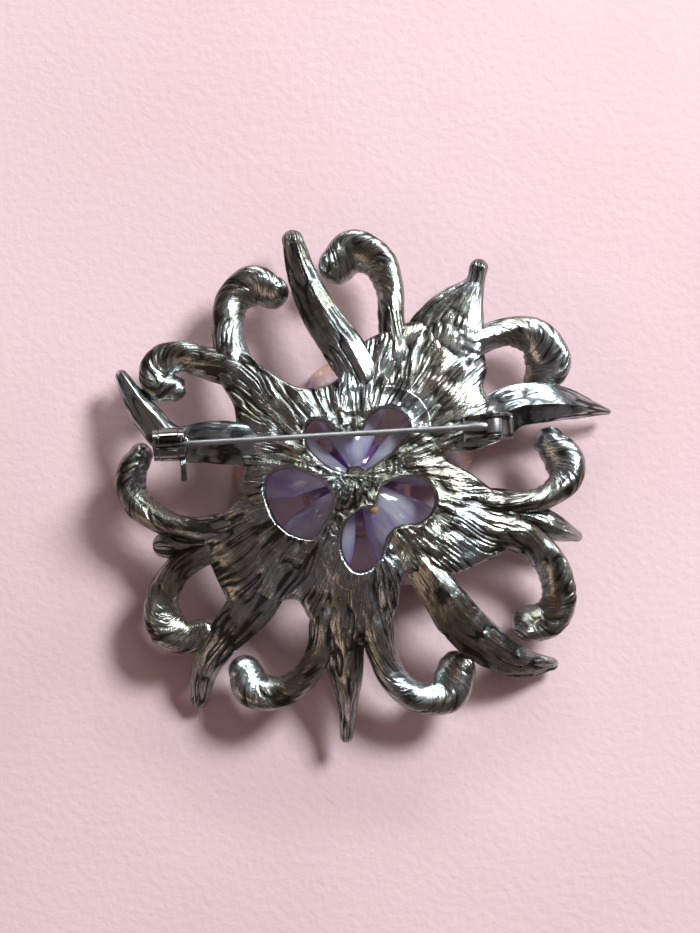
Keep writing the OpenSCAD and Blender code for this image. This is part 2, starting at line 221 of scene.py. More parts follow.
# %% A helper for node trees
class Finish:
    """A material whose Principled shader is `shader`; node() adds a node and sets its inputs."""

    def __init__(self, name, **settings):
        """settings are the shader's inputs, with _ for each space."""
        self.material = bpy.data.materials.new(name)
        self.material.use_nodes = True
        self.tree = self.material.node_tree
        self.shader = self.tree.nodes["Principled BSDF"]
        for key, value in settings.items():
            self.shader.inputs[key.replace("_", " ")].default_value = value

    def node(self, kind, feeds=None, **settings):
        """Adds a node. feeds = {input: value or socket}; settings are the node's own properties."""
        made = self.tree.nodes.new("ShaderNode" + kind)
        for key, value in settings.items():
            setattr(made, key, value)
        for key, value in (feeds or {}).items():
            if isinstance(value, bpy.types.NodeSocket):
                self.tree.links.new(value, made.inputs[key])
            else:
                made.inputs[key].default_value = value
        return made

    def feed(self, key, socket):
        """Links a socket to one of the shader's inputs."""
        self.tree.links.new(socket, self.shader.inputs[key])

    def place(self):
        """Where on the piece, in the frame's own coordinates."""
        return self.node("TexCoord").outputs["Object"]

    def kept(self, name, output):
        """What `solid` kept on the points under a name."""
        return self.node("Attribute", attribute_name=name, attribute_type="GEOMETRY").outputs[output]

    def math(self, operation, a, b):
        """Two values put together by ADD, MAXIMUM and the like."""
        return self.node("Math", {0: a, 1: b}, operation=operation).outputs["Value"]

    def mix(self, share, one, other):
        """One colour where share is 0, the other where it is 1."""
        return self.node("Mix", {0: share, 6: one, 7: (*other, 1)}, data_type="RGBA").outputs[2]

    def cloud(self, scale, detail=3.0, vector=None, rough=0.5):
        """Noise of about 1/scale metres across, from 0 to 1."""
        feeds = {"Vector": vector or self.place(), "Scale": scale, "Detail": detail, "Roughness": rough}
        return self.node("TexNoise", feeds).outputs["Fac"]

    def ramp(self, fac, stops):
        """Colours along a ramp: stops = [(place, (r, g, b)), ...]."""
        made = self.node("ValToRGB", {"Fac": fac})
        bar = made.color_ramp.elements
        while len(bar) < len(stops):
            bar.new(0.5)
        for element, (where, colour) in zip(bar, stops):
            element.position = where
            element.color = (*colour, 1)
        return made.outputs["Color"]

    def fit(self, value, low, high, a=0.0, b=1.0):
        """value carried from the span a..b to low..high, and held there."""
        feeds = {"Value": value, "From Min": a, "From Max": b, "To Min": low, "To Max": high}
        return self.node("MapRange", feeds).outputs["Result"]

    def bumps(self, *layers):
        """Bump nodes one on another: each layer is (height socket, strength, depth in mm)."""
        normal = None
        for height, strength, depth in layers:
            feeds = {"Height": height, "Strength": strength, "Distance": depth * MM}
            if normal is not None:
                feeds["Normal"] = normal
            normal = self.node("Bump", feeds).outputs["Normal"]
        self.feed("Normal", normal)


print("finish helper ready")

# %% [markdown]
# ### Black-nickel plate on a chiselled casting
#
# The finish is a thin, dark, very glossy plate. Its colour drifts between brown, olive and blue-grey
# over a few millimetres, and it is darkest and dullest down in the strokes. Fine lines follow each
# piece's length. They come from the `run` kept on the points, so they bend with the hooks.

# %% The casting's finish
BROWN, OLIVE, SMOKE, STEEL = (0.29, 0.24, 0.20), (0.34, 0.35, 0.28), (0.47, 0.50, 0.485), (0.50, 0.60, 0.62)
SOOT = (0.03, 0.026, 0.022)


def plated(name, tint, rough, scratch=1.0):
    """Dark mirror plate drifting through the four colours of `tint`; `scratch` is its lines' strength."""
    made = Finish(name, Metallic=1.0)
    drift = made.ramp(made.cloud(130.0, 4.0), list(zip((0.3, 0.42, 0.54, 0.68), tint)))
    groove = made.kept("groove", "Fac")
    run = made.kept("run", "Vector")
    fine = made.node("Mapping", {"Vector": run, "Scale": (0.55, 4.5, 1.0)}).outputs["Vector"]
    lines = made.cloud(1.0, 5.0, fine, 0.62)
    cut = made.fit(groove, 0.0, 0.95, 0.1, 0.7)
    scored = made.fit(lines, 0.52 * scratch, 0.0, 0.40, 0.52)
    made.feed("Base Color", made.mix(made.math("MAXIMUM", cut, scored), drift, SOOT))
    smudge = made.fit(made.cloud(900.0, 2.0), rough, rough + 0.12, 0.35, 0.7)
    made.feed("Roughness", made.math("ADD", smudge, made.fit(groove, 0.0, 0.25)))
    made.bumps((lines, 0.8 * scratch, 0.1), (made.cloud(1500.0, 3.0), 0.35, 0.03))
    return made.material


casting_plate = plated("casting_plate", (BROWN, OLIVE, SMOKE, STEEL), 0.08)
# The hinge and catch leaves get a smoother copy with fewer lines, and its lighter tints are a painted
# highlight.
casting_smooth_painted_highlight = plated("casting_smooth_painted_highlight", (SMOKE, SMOKE, STEEL, STEEL), 0.06, scratch=0.25)
print("made", casting_plate.name, casting_smooth_painted_highlight.name)

# %% [markdown]
# ### Fittings, pin wire and glue
#
# The hinge and the catch are bent and turned from sheet, so they are smoother and more even than the
# casting, with faint turning lines. The wire is drawn steel with a satin skin. The bead of set glue
# is amber and lets some light in.

# %% The small parts' finishes
def turned(name, colour, rough, lines, marks):
    """Smooth plated metal, with `lines` faint lines to a metre along X, and `marks` their strength."""
    made = Finish(name, Metallic=1.0)
    drift = made.ramp(made.cloud(500.0, 3.0), [(0.3, tuple(0.7 * c for c in colour)), (0.7, colour)])
    made.feed("Base Color", drift)
    made.feed("Roughness", made.fit(made.cloud(1400.0, 3.0), rough, rough + 0.14, 0.3, 0.75))
    stretched = {"Vector": made.place(), "Scale": (lines, 0.12 * lines, 0.12 * lines)}
    fine = made.cloud(1.0, 3.0, made.node("Mapping", stretched).outputs["Vector"])
    made.bumps((fine, marks, 0.02), (made.cloud(700.0, 2.0), 0.6 * marks, 0.04))
    return made.material


fitting_plate = turned("fitting_plate", (0.29, 0.29, 0.28), 0.1, 6000.0, 0.35)
pin_wire = turned("pin_wire", (0.41, 0.42, 0.42), 0.32, 500.0, 0.02)


def set_glue():
    """Amber glue: partly clear, glossy, with a slightly wavy skin."""
    made = Finish("set_glue", Roughness=0.12, IOR=1.5, Transmission_Weight=0.35, Subsurface_Weight=0.3,
                  Subsurface_Scale=0.001)
    ambers = [(0.3, (0.48, 0.27, 0.09)), (0.7, (0.66, 0.42, 0.2))]
    made.feed("Base Color", made.ramp(made.cloud(1200.0), ambers))
    made.bumps((made.cloud(1600.0, 2.0), 0.3, 0.05))
    return made.material


glue_amber = set_glue()
print("made", fitting_plate.name, pin_wire.name, glue_amber.name)

# %% [markdown]
# ### Acrylic petals and glass stones
#
# The petals are tumbled acrylic: partly clear, with a lilac or violet tint and faint flow lines. Their rim
# is painted violet as a painted glow of the light their edge carries, and the inner petals' violet is
# darkened as painted shade. Their tips blush to peach. The stones are clear, hard glass with a tint, and
# their facets carry the sparkle.

# %% The flower's finishes
# The second colour is a painted rim glow: light carried out through a petal's edge, painted violet.
ROSE, PAINTED_RIM_GLOW, PEACH = (0.93, 0.74, 0.80), (0.42, 0.26, 0.95), (1.0, 0.62, 0.48)


def acrylic(name, pale, deep, clear, haze):
    """Tinted glossy plastic. `clear` is its transmission and `haze` how much light it scatters inside."""
    made = Finish(name, Roughness=0.06, IOR=1.49, Transmission_Weight=clear, Subsurface_Weight=haze,
                  Subsurface_Scale=0.004, Coat_Weight=0.6, Coat_Roughness=0.04)
    made.shader.inputs["Subsurface Radius"].default_value = (1.0, 0.8, 1.2)
    run = made.kept("run", "Vector")
    flow = made.node("Mapping", {"Vector": run, "Scale": (0.12, 0.5, 0.0)}).outputs["Vector"]
    veins = made.cloud(1.0, 3.0, flow)
    pools = made.math("ADD", veins, made.fit(made.cloud(160.0, 2.0), -0.25, 0.25))
    body = made.ramp(pools, [(0.3, deep), (0.5, pale), (0.62, pale), (0.8, ROSE)])
    # The rim mask, kept on the petals as "groove", mixes in the painted rim glow.
    body_with_rim_glow = made.mix(made.kept("groove", "Fac"), body, PAINTED_RIM_GLOW)
    tip = made.node("SeparateXYZ", {"Vector": run}).outputs["Z"]
    made.feed("Base Color", made.mix(tip, body_with_rim_glow, PEACH))
    made.feed("Roughness", made.fit(made.cloud(800.0, 3.0), 0.04, 0.14, 0.35, 0.7))
    made.bumps((veins, 0.5, 0.5), (made.cloud(260.0, 2.0), 0.6, 0.6))
    return made.material


def cut_glass(name, colour):
    """Clear glass with a tint, and a trace of polishing marks."""
    made = Finish(name, Roughness=0.02, IOR=1.58, Transmission_Weight=0.85)
    darker = tuple(0.85 * c for c in colour)
    made.feed("Base Color", made.ramp(made.cloud(500.0), [(0.3, darker), (0.7, colour)]))
    made.bumps((made.cloud(2500.0, 2.0), 0.08, 0.02))
    return made.material


petal_lilac = acrylic("petal_lilac", (0.84, 0.83, 1.0), (0.60, 0.54, 0.96), 0.74, 0.3)
# The inner petals' violet is darkened towards maroon as painted shade for the deep shadow under the hub.
petal_violet_painted_shade = acrylic("petal_violet_painted_shade", (0.40, 0.24, 0.52), (0.24, 0.10, 0.28), 0.7, 0.1)
glass_clear = cut_glass("glass_clear", (0.95, 0.92, 0.98))
glass_peach = cut_glass("glass_peach", (0.98, 0.72, 0.58))
print("made", petal_lilac.name, petal_violet_painted_shade.name, glass_clear.name, glass_peach.name)

# %% [markdown]
# ## Camera
#
# The view is almost straight down, from a little on the -Y side, and the brooch is turned slightly
# anticlockwise. The camera stands 0.35 m away, and its focal length follows from that distance and
# from the height of the field it must see. The target is a little left of and above the brooch's
# middle, so the brooch sits low and right of the view's centre.

# %% Place the camera
TURN = np.radians(3.3)
TILT = np.radians(4.5)
FAR = 0.35
FIELD = 0.1303
right = np.array([np.cos(TURN), -np.sin(TURN), 0.0])
up_page = np.array([np.sin(TURN), np.cos(TURN), 0.0])
target = np.array([-0.0005, 0.0, 0.008]) - 0.00186 * right + 0.0020 * up_page
back = np.cos(TILT) * np.array([0, 0, 1.0]) - np.sin(TILT) * up_page
camera_up = np.cross(back, right)

camera = bpy.data.objects.new("camera", bpy.data.cameras.new("camera"))
bpy.context.scene.collection.objects.link(camera)
axes = np.eye(4)
axes[:3, 0], axes[:3, 1], axes[:3, 2], axes[:3, 3] = right, camera_up, back, target + FAR * back
camera.matrix_world = Matrix(axes.tolist())
camera.data.sensor_width = 36.0
camera.data.lens = 36.0 * FAR / FIELD
camera.data.clip_start = 0.01
bpy.context.scene.camera = camera
print("lens", round(camera.data.lens, 1), "mm at", (target + FAR * back).round(3).tolist())

# %% [markdown]
# ## Floor and light
#
# The floor is plain, pale pink and matt. Glossy metal shows what is round it more than it shows its
# own colour, so the lamps matter most. One soft lamp high on the right makes the white slopes, and a
# long strip beyond the top of the view lines them. A weak one overhead, a weaker warm one on the
# left and the dim sky keep the far slopes from going black.

# %% Make the floor and the lamps
def pale_floor():
    """A matt floor whose colour drifts slightly."""
    made = Finish("floor_matt", Roughness=0.95)
    made.shader.inputs["Specular IOR Level"].default_value = 0.1
    shades = [(0.3, (0.62, 0.43, 0.43)), (0.7, (0.69, 0.50, 0.50))]
    made.feed("Base Color", made.ramp(made.cloud(14.0, 3.0), shades))
    made.bumps((made.cloud(900.0, 3.0), 0.35, 0.25))
    return made.material


bpy.ops.mesh.primitive_plane_add(size=3.0)
floor = bpy.context.object
floor.name = "floor"
floor.data.materials.append(pale_floor())


def lamp(name, where, look_at, size, power, colour=(1, 1, 1)):
    """A soft rectangular lamp at `where`, facing `look_at`; `size` is its two sides in metres."""
    made = bpy.data.objects.new(name, bpy.data.lights.new(name, "AREA"))
    made.data.shape = "RECTANGLE"
    made.data.size, made.data.size_y = size
    made.data.energy = power
    made.data.color = colour
    made.location = where
    aim = np.array(look_at, float) - np.array(where, float)
    made.rotation_euler = Vector(aim).to_track_quat("-Z", "Y").to_euler()
    bpy.context.scene.collection.objects.link(made)
    return made


BROOCH_AT = (0, 0, 0.01)
lamp("window", (0.50, 0.42, 0.60), BROOCH_AT, (0.26, 0.22), 12.8, (0.84, 0.93, 1.0))
lamp("strip", (0.22, 0.75, 0.34), BROOCH_AT, (0.7, 0.12), 4.6, (0.90, 0.96, 1.0))
lamp("ceiling", (0.25, 0.3, 1.3), BROOCH_AT, (0.6, 0.6), 0.7, (0.95, 0.98, 1.0))
lamp("left_glow", (-0.7, -0.5, 0.7), BROOCH_AT, (0.4, 0.4), 0.9, (1.0, 0.72, 0.58))
sky = bpy.data.worlds.new("studio")
bpy.context.scene.world = sky
sky.use_nodes = True
sky.node_tree.nodes["Background"].inputs["Color"].default_value = (0.78, 0.60, 0.58, 1)
sky.node_tree.nodes["Background"].inputs["Strength"].default_value = 0.18
bpy.context.scene.view_settings.view_transform = "Standard"

# %% [markdown]
# ## A chiselled strand
#
# Every hook and leaf of the casting is a strand: an oval section carried along a smooth line, wider or
# narrower as it goes, with a rounded nose at each end. Its surface is cut by small chisel strokes,
# which run along the stems and swing round across the crowns of the hooks. They are cut as geometry,
# because the highlights break on them.

# %% The strand's section and its strokes
def section_angles(m):
    """m angles from underneath, closer together on top: a = 2 pi u - pi/2 + 0.45 sin 2 pi u."""
    u = np.arange(m) / m
    return 2 * np.pi * u - np.pi / 2 + 0.45 * np.sin(2 * np.pi * u)


def with_noses(path, s, blunt, steps=12):
    """Adds a nose to each end of a path: stations past the end by w/2 sin(a), shrunk by cos(a).

    Returns the path, its distance along, and the shrink factor. blunt = (root, tip) stretches each nose."""
    along, _ = heading(path)
    a = np.linspace(0, np.pi / 2, steps + 1)[1:] * 0.985
    front, far = path[:1].repeat(steps, 0), path[-1:].repeat(steps, 0)
    out_a, out_b = path[0, 2] / 2 * blunt[0] * np.sin(a), path[-1, 2] / 2 * blunt[1] * np.sin(a)
    front[:, :2] -= along[0] * out_a[:, None]
    far[:, :2] += along[-1] * out_b[:, None]
    shrink = np.concatenate([np.cos(a)[::-1], np.ones(len(path)), np.cos(a)])
    return (np.concatenate([front[::-1], path, far]),
            np.concatenate([s[0] - out_a[::-1], s, s[-1] + out_b]), shrink)


print("section angles start at", section_angles(8)[0].round(2))

# %% [markdown]
# The strokes are laid out before the strand itself. Each point of the strand gets two distances: how
# far it is along the strokes and how far over them. A radian round the section counts as `SKIN`
# millimetres.

# %% The chisel strokes
SKIN = 2.0


def chiselled(s, part, a, curl, swing, gap, seed):
    """(along, over, groove) for stations s and section angles a, with part running from 0 to 1.

    The strokes turn by swing ease(part, 0.25, 0.75) off the stem's direction. On a hook's inner side
    they fade out past its middle."""
    swerve = swing * ease(part, 0.25, 0.75)
    step = np.gradient(s)[:, None]
    round_it = (a - np.pi / 2) * SKIN * -curl
    over = round_it * np.cos(swerve) - np.cumsum(step * np.sin(swerve), axis=0)
    along = round_it * np.sin(swerve) + np.cumsum(step * np.cos(swerve), axis=0)
    wander = 0.5 * noise(along / 3.0, over / 3.0, seed + 5)
    coarse = strokes(along / 3.2, over / gap + wander, seed)
    fine = strokes(along / 1.6, over / (0.45 * gap) + wander, seed + 1, sharp=2.0)
    where_cut = 0.35 + 0.65 * ease(noise(along / 2.5, over / 1.6, seed + 2), 0.3, 0.6)
    outer = ease(-np.cos(a) * curl, -0.75, 0.15)
    where_cut = where_cut * (1 - ease(part, 0.35, 0.6) * (1 - outer) * (swing > 0))
    return along, over, np.clip((coarse + 0.35 * fine) * where_cut, 0, 1)


print("a quarter turn round a strand counts as", round(np.pi / 2 * SKIN, 2), "mm")

# %% [markdown]
# The strand puts them together: its section is swept along the line, and lumps, beads and strokes
# move each point in or out along its own normal.

# %% A strand
def strand(line, n=220, m=96, depth=3.2, lean=0.0, roof=0.0, crest=0.0, swing=0.0, cut=0.16, gap=0.5,
           lumps=0.16, beads=0.0, blunt=(1.0, 1.0), seed=1):
    """A chiselled strand along [x, y, width, rise] points, as (rings, run, groove).

    Section: across = w/2 cos a, height = 0.6 depth up (above) or 0.4 depth up (below), where up = sin a,
    blended by `roof` towards a ridge 1 - |cos a - crest|. `lean` lowers the inner side of a curl.
    Strokes: grooves `cut` mm deep and `gap` mm apart; `swing` turns them, from 0 along the stem to
    that many radians across the crown. `beads` raises a row of small beads on the inner edge."""
    path, s = smooth_line(line, n)
    curl = np.sign(np.cross(path[1, :2] - path[0, :2], path[-1, :2] - path[0, :2]))
    _, left = heading(path)
    steps = 12
    path, s, shrink = with_noses(path, s, blunt, steps)
    left = np.concatenate([left[:1].repeat(steps, 0), left, left[-1:].repeat(steps, 0)])
    part = np.clip(s / s[n + steps - 1], 0, 1)[:, None]
    shrink = shrink[:, None]
    a = section_angles(m)[None, :]
    side, up = np.cos(a), np.sin(a)
    ridge = 1 - np.abs(side - crest) / (1 + abs(crest))
    up = np.where(up > 0, (1 - roof) * up + roof * ridge * ease(up, 0, 0.5), up)
    half, high = path[:, 2:3] / 2 * shrink, np.where(up > 0, 0.6, 0.4) * depth * shrink
    nx, nz = side / np.maximum(half, 0.2), np.sin(a) / np.maximum(high, 0.2)
    size = np.hypot(nx, nz)
    nx, nz = nx / size, nz / size

    along, over, groove = chiselled(s, part, a, curl, swing, gap, seed)
    lump = noise(s[:, None] / 2.2, (a - np.pi / 2) * SKIN * -curl / 1.8, seed + 3) - 0.5
    inner = np.exp(-((side * curl - 0.96) / 0.16) ** 2) * ease(part, 0.35, 0.55)
    bead = beads * inner * (0.5 + 0.5 * np.sin(2 * np.pi * s[:, None] / 1.5))
    rise = (bead + lumps * lump - cut * groove) * np.minimum(1, 1.4 * shrink)

    across = half * side + rise * nx
    tall = high * up + rise * nz
    top = dome(path[:, 0], path[:, 1])[:, None] + path[:, 3:4] - 0.6 * depth
    x = path[:, 0:1] + left[:, 0:1] * across
    y = path[:, 1:2] + left[:, 1:2] * across
    z = top + tall - lean * curl * half * side * part
    run = np.stack([along + 0 * a, over + 0 * a, 0 * along], axis=-1)
    return np.stack([x, y, z], axis=-1), run, groove


trial = strand([[0, 0, 2, 0], [4, 1, 2, 0], [8, 0, 2, 0]], n=20, m=16)[0]
print("a trial strand is", np.ptp(trial.reshape(-1, 3), axis=0).round(1).tolist(), "mm")

# %% [markdown]
# ## The ten hooks
#
# A hook's stem grows out of the web, swells as it curls over, and ends in a round bulb. Its inner
# edge leans down towards the front, where the stones are set, and carries a row of low beads. The
# first point of each line lies inside the web and below its surface, so the stem rises out of it as
# one casting.

# %% Hook lines and meshes
HOOKS = [
    [[5.2, 12.5, 3.6, -1.2], [5.5, 17.5, 4.3, 0], [5.2, 22, 3.8, 0.2], [5.3, 27, 4, 0.6],
     [3.8, 31, 5, 1], [0.5, 32.8, 6, 0.8], [-2, 30.8, 5.2, 0]],
    [[11, 15.5, 3.4, -1.2], [15.5, 18, 4.2, 0], [18.5, 19.2, 4, 0.2], [22, 20, 4.2, 0.6],
     [25.5, 18.8, 5.5, 1], [27, 15.5, 6.4, 0.6], [26, 12.8, 5, -0.3]],
    [[13, -2.8, 3.4, -1], [18, -4, 4, 0.1], [21.5, -4.2, 3.2, 0.2], [25, -3.8, 3.4, 0.6],
     [28, -1.8, 4.5, 1], [28.3, 1.2, 5.6, 0.7], [26.5, 4, 4.4, 0]],
    [[14, -6, 4.2, -0.7], [20.5, -8.5, 5, 0.2], [23.5, -10.5, 4.5, 0.3], [25.8, -13.5, 4.5, 0.6],
     [26.5, -17.5, 4.8, 1], [25, -20.5, 5.4, 0.8], [22.3, -21.2, 5.2, 0]],
    [[-0.5, -15, 4.4, -0.8], [0.5, -20, 5, 0], [1.2, -24, 4.2, 0.2], [2.8, -28, 4, 0.6],
     [6, -30.6, 4.2, 1], [10, -30.2, 5.6, 0.8], [11.5, -27, 5.4, 0]],
    [[-6, -15, 3.8, -0.8], [-6.5, -19.5, 4.5, 0], [-7.5, -23.5, 3.8, 0.2], [-10, -27, 3.8, 0.6],
     [-13.5, -28.8, 4.6, 1], [-17, -28, 5.4, 0.8], [-18, -25.5, 4.6, 0]],
    [[-20, -8, 3.4, -1], [-24.5, -9.5, 4, 0], [-27.2, -11.5, 4, 0.3], [-29.2, -15, 4.8, 0.8],
     [-28.6, -18.8, 5.6, 1], [-25.8, -20.3, 4.8, 0.6], [-23.4, -19.6, 3.6, 0]],
    [[-17, -4.5, 3.4, -1], [-21, -5.5, 4, 0], [-25, -5.2, 3.4, 0.2], [-29, -3.6, 3.8, 0.6],
     [-32.2, -0.5, 4.2, 1], [-32.4, 3.2, 4.2, 0.7], [-31, 5.6, 3.4, 0]],
    [[-13, 13.5, 4.2, -0.9], [-17.5, 16.5, 5, 0], [-21.3, 18, 4.6, 0.2], [-24.8, 19.2, 4.4, 0.6],
     [-27.8, 18, 5, 1], [-28, 15.3, 4.8, 0.6], [-25.8, 14.6, 3.8, 0]],
    [[-15.5, 14, 4, -1.1], [-17.3, 18.5, 5, 0], [-17.8, 22.5, 4.6, 0.2], [-17, 26.5, 4.8, 0.7],
     [-14, 28.6, 5.6, 1], [-11.2, 27.4, 4.6, 0.3]]]
for number, points in enumerate(HOOKS, 1):
    shape = strand(points, n=230, m=88, lean=0.28, swing=0.9, beads=0.12, cut=0.16, gap=0.6,
                   blunt=(0.6, 1.0), seed=10 * number)
    hook = skin(f"hook_{number:02d}", *shape)
    dress(hook, casting_plate, stands_for=[f"scroll_{number:02d}"])
print("hooks:", len(HOOKS), "of", len(hook.data.polygons), "faces each")

# %% [markdown]
# ## The nine leaves
#
# Leaves are flatter strands with a ridge like a roof, so one slope catches the lamp and the other
# goes dark. The broad upper one rises at its tip, and the two that carry the hinge and the catch are
# smoother than the rest, and painted in lighter tints as a painted highlight.

# %% Leaf lines and meshes
LEAVES = [
    ([[1, 10.6, 4, -1.2], [0.6, 13.6, 5.4, 0.1], [-1.2, 17.6, 6, 0.5], [-4.4, 23, 5.4, 0.9],
      [-6.8, 29, 4.4, 1.2], [-8, 34.8, 3, 2]], dict(roof=0.6, crest=-0.25, gap=0.6, blunt=(0.9, 1.0))),
    ([[11.2, 14.5, 10, -1.2], [12.4, 18.6, 11.4, 0.1], [13.8, 21.5, 9.8, 0.5], [15.3, 24, 7.2, 0.9],
      [17.3, 27, 3, 1.6], [18, 29.2, 2.6, 2.6]], dict(roof=0.2, crest=-0.55, gap=0.42, cut=0.13, m=120)),
    ([[12, 5.2, 4.2, -0.8], [15.6, 6, 5.6, 0.2], [18.5, 7.4, 6.4, 0.5], [22, 9.2, 6, 0.6],
      [28, 9.4, 5.2, 0.8], [35.2, 8.2, 1, -0.5]], dict(roof=0.9, crest=-0.1, gap=0.8, cut=0.09)),
    ([[19, -5.2, 3.4, -1.6], [23.5, -6.5, 4, -1.2], [26.5, -8, 3.8, -1], [29.6, -9.3, 1.6, -1.2]],
     dict(roof=0.7, gap=0.6)),
    ([[5.4, -10, 3.6, -1.4], [6.9, -12, 4.6, 0], [9.5, -16, 5.6, 0.6], [12.5, -20.5, 6.4, 0.9],
      [17, -24.7, 5.6, 0.8], [21, -26.6, 4.4, 0.2], [25, -27, 2, -0.6]],
     dict(roof=0.8, crest=0.3, gap=0.75, cut=0.2)),
    ([[-3.6, -15, 5, -0.6], [-4, -20, 6.4, 0], [-4, -23.5, 5.6, 0.3], [-4, -27, 4.8, 0.2],
      [-4, -31.5, 2.8, 0], [-4.4, -35.4, 1.8, 0.4]], dict(roof=0.5, crest=0.2, gap=0.55, cut=0.2)),
    ([[-12.5, -12, 5, -0.6], [-15.8, -15.8, 6.6, 0.2], [-18.4, -18.5, 6, 0.6], [-21, -21.2, 5, 0.8],
      [-23.6, -24.8, 4, 0.4], [-24.8, -29, 2.6, -0.8]], dict(roof=0.5, crest=0.2, gap=0.5)),
    ([[-17.5, -6.6, 3, -1.2], [-21, -7.6, 4, -0.6], [-24.6, -7.6, 2.8, -0.8], [-27.2, -7.4, 3.8, -0.3],
      [-28.2, -7.3, 3.6, -0.4]], dict(roof=0.5, gap=0.5)),
    ([[-13, 5.2, 4.6, -0.6], [-15.5, 5.8, 6, 0.2], [-20.5, 6.4, 6, 1], [-26, 6.8, 4.8, 1.8],
      [-29.5, 10.5, 4.2, 1.6], [-32, 14.6, 3, 1.2], [-33.2, 17, 1.8, 1.2]],
     dict(roof=0.25, crest=-0.4, gap=0.9, cut=0.03)),
]
HINGE_LEAF, CATCH_LEAF = 3, 9
for number, (points, look) in enumerate(LEAVES, 1):
    settings = dict(n=240, m=88, depth=2.4, cut=0.16, lumps=0.12, seed=200 + 10 * number)
    settings.update(look)
    leaf = skin(f"leaf_look_{number:02d}", *strand(points, **settings))
    finish = casting_smooth_painted_highlight if number in (HINGE_LEAF, CATCH_LEAF) else casting_plate
    dress(leaf, finish, stands_for=[f"leaf_{number:02d}"])
print("leaves:", len(LEAVES))

# %% [markdown]
# ## The web
#
# The hub's web is drawn as closed loops on the plan: one for its outer edge and one for each of its
# three windows. Strokes fan out from the hub towards the hooks, as fur lies. Both pieces of the web
# below read their height from the same function, so they meet as one skin.

# %% Web outlines and its height
WEB_EDGE = [
    [-4, 13.5], [-8.5, 13.5], [-13.5, 17], [-16, 19.5], [-19.3, 18.8], [-19.3, 15.3], [-17.5, 11.5],
    [-17.2, 8], [-17.2, 4.5], [-15.5, 1.5], [-16.5, -1], [-19.5, -3.5], [-22, -5], [-22.6, -8],
    [-21.5, -11.5], [-20.3, -14.5], [-19, -17], [-15.5, -17], [-10.5, -16], [-8.7, -18.6], [-7, -21.6],
    [-2.5, -23], [1.2, -21.6], [3.6, -18], [5, -13.6], [9.5, -13.8], [13.5, -13.4], [19, -11],
    [21.6, -8.5], [21, -5], [18.6, -3], [15, 0], [11.8, 2.4], [14, 4.6], [17.5, 6.4], [18.4, 9.5],
    [17.5, 12], [18.2, 15], [17, 19], [13, 21.5], [8, 21.8], [4, 20.6], [0.8, 19], [-1.6, 15.6]]
WINDOWS = [
    [[-7.6, 6.8], [-6.6, 8.4], [-5, 8.2], [-3.2, 6.4], [-1.4, 5.8], [0.2, 6.4], [1.4, 8.6], [3.8, 9.6],
     [6, 8.6], [6.6, 6.8], [5.6, 5], [3, 2.8], [0.2, 1.2], [-1.8, 0.8], [-4.6, 2], [-7, 4.4]],
    [[-13.5, -1.4], [-12.8, 1.2], [-10.4, 2], [-7.8, 1.2], [-5.6, -0.2], [-4.4, -2.6], [-5.4, -5.2],
     [-7.2, -7.6], [-9.4, -7.4], [-12, -5.4]],
    [[2.4, -1.4], [4.6, -0.3], [7.4, -0.3], [9.3, -1.8], [9.4, -4.4], [7.6, -6.3], [4.6, -6.6], [2.8, -8],
     [2, -10.4], [0.2, -12.3], [-2, -12.3], [-3.4, -9.8], [-2.9, -6.4], [-0.8, -4.4], [1.6, -3.9]]]
WEB_THICK = 1.9


def loop(points, n):
    """A closed Catmull-Rom curve with n steps from each point to the next."""
    p = np.asarray(points, float)
    around = [np.roll(p, k, axis=0)[:, None] for k in (1, 0, -1, -2)]
    return between(*around, np.linspace(0, 1, n, endpoint=False)[None, :, None]).reshape(-1, 2)


def inside_by(x, y, path):
    """Distance to a closed path, positive inside it.

    A point is inside if a ray from it crosses the path an odd number of times."""
    near, odd = np.full(x.shape, 1e9), np.zeros(x.shape, bool)
    for (ax, ay), (bx, by) in zip(path, np.roll(path, -1, axis=0)):
        t = np.clip(((x - ax) * (bx - ax) + (y - ay) * (by - ay)) / ((bx - ax) ** 2 + (by - ay) ** 2), 0, 1)
        near = np.minimum(near, np.hypot(x - ax - t * (bx - ax), y - ay - t * (by - ay)))
        if by != ay:
            odd ^= ((ay > y) != (by > y)) & (x < (bx - ax) * (y - ay) / (by - ay) + ax)
    return np.where(odd, near, -near)


